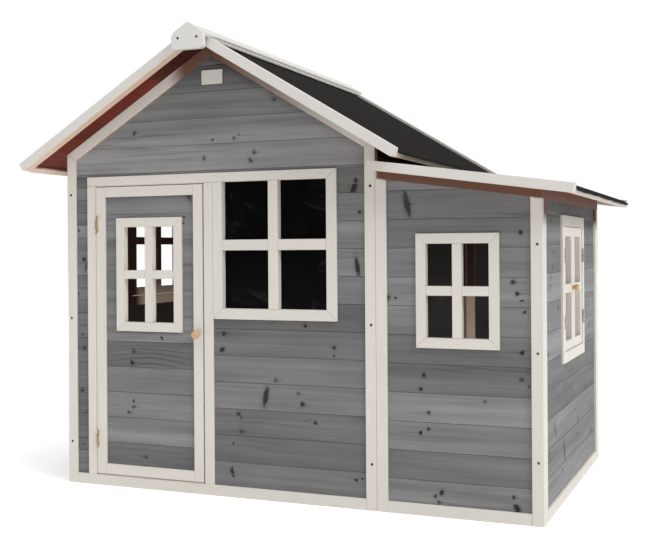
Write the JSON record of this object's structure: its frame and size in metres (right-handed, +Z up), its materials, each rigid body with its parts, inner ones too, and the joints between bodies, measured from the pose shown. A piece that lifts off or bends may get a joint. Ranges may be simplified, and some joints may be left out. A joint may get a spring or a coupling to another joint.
{
  "type": "garden playhouse",
  "caption": "Timber garden playhouse: a gabled room with a hinged door and a lean-to annex, framed grey board walls, small framed windows and felted roofs.",
  "frame": {"origin": "on the ground, at the middle of the bounding box of the roofs", "axes": "+X from the main room towards the annex, +Y from the front wall to the back wall, +Z up"},
  "size_m": [1.8338, 1.368, 1.4953],
  "materials": {
    "trim": "painted off-white, satin",
    "boards": "grey stain, matt",
    "soffit": "red-brown stain, matt",
    "felt": "bitumen felt, matt",
    "pane": "clear acrylic",
    "beech": "turned, clear lacquer",
    "brass": "brass plated"
  },
  "bodies": {
    "house": {"front_frame": "trim", "front_boards_left": "boards", "front_boards_gable": "boards", "front_boards_right": "boards", "door_posts": "trim", "head_rail": "trim", "front_window_frame": "trim", "window_panes": "pane", "back_frame": "trim", "back_boards": "boards", "annex_front_frame": "trim", "annex_front_boards": "boards", "annex_window_frame": "trim", "annex_back_frame": "trim", "annex_back_boards": "boards", "right_wall_frame": "trim", "right_wall_boards": "boards", "right_window_casing": "trim", "right_casements": "trim", "left_wall_frame": "trim", "left_wall_boards": "boards", "left_window_casing": "trim", "left_casements": "trim", "window_hinges": "brass", "window_knobs": "beech", "header_beam": "trim", "roof_boards_left": "soffit", "roof_boards_right": "soffit", "roof_felt_left": "felt", "roof_felt_right": "felt", "front_bargeboards": "trim", "back_bargeboards": "trim", "eave_battens": "trim", "ridge_cap": "trim", "ridge_end_pieces": "trim", "annex_roof_boards": "soffit", "annex_roof_felt": "felt", "annex_bargeboards": "trim", "name_plate": "trim", "hinge_pins": "brass"},
    "door": {"door_frame": "trim", "door_boards": "boards", "door_window": "trim", "door_knob": "beech", "hinge_knuckles": "brass"}
  },
  "joints": [
    {"name": "door_hinge", "type": "hinge", "parent": "house", "child": "door", "pos_m": [-0.68954, -0.5396, 0.156], "axis": [0, 0, -1], "range_deg": [0, 110]}
  ]
}
